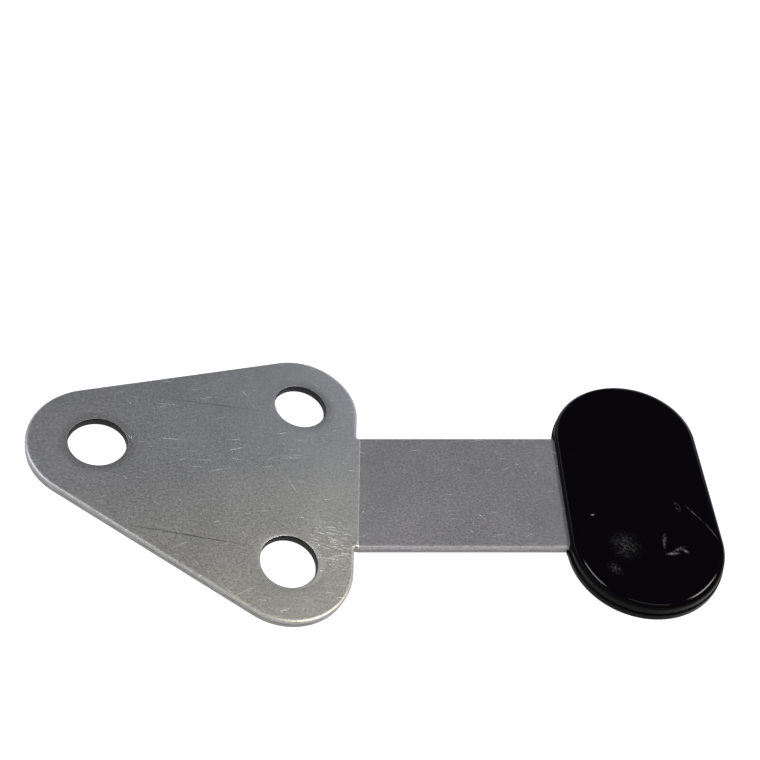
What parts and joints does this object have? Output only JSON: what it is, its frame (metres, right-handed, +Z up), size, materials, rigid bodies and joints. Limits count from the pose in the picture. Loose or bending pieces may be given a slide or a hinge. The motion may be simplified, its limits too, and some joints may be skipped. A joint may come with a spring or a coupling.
{
  "type": "floor door holder",
  "caption": "Flat screw-down floor plate with an upswept leaf-spring tongue that ends in a moulded rubber pad and grips the underside of a door.",
  "frame": {"origin": "underside of the plate at the centroid of its screw holes", "axes": "+X along the part from the plate to the pad, +Y across it, +Z up from the floor"},
  "size_m": [0.1464, 0.0698, 0.0266],
  "materials": {
    "steel": "bare rolled sheet, satin, with fine scratches",
    "pad_rubber": "glossy black moulded, lightly scuffed"
  },
  "bodies": {
    "plate": {"mounting_plate": "steel"},
    "tongue": {"spring_tongue": "steel", "rubber_pad": "pad_rubber"}
  },
  "joints": [
    {"name": "tongue_flex", "type": "hinge", "parent": "plate", "child": "tongue", "pos_m": [0.02897, 0, 0.001], "axis": [0, 1, 0], "range_deg": [0, 6], "stiffness_Nm_per_rad": 200}
  ]
}
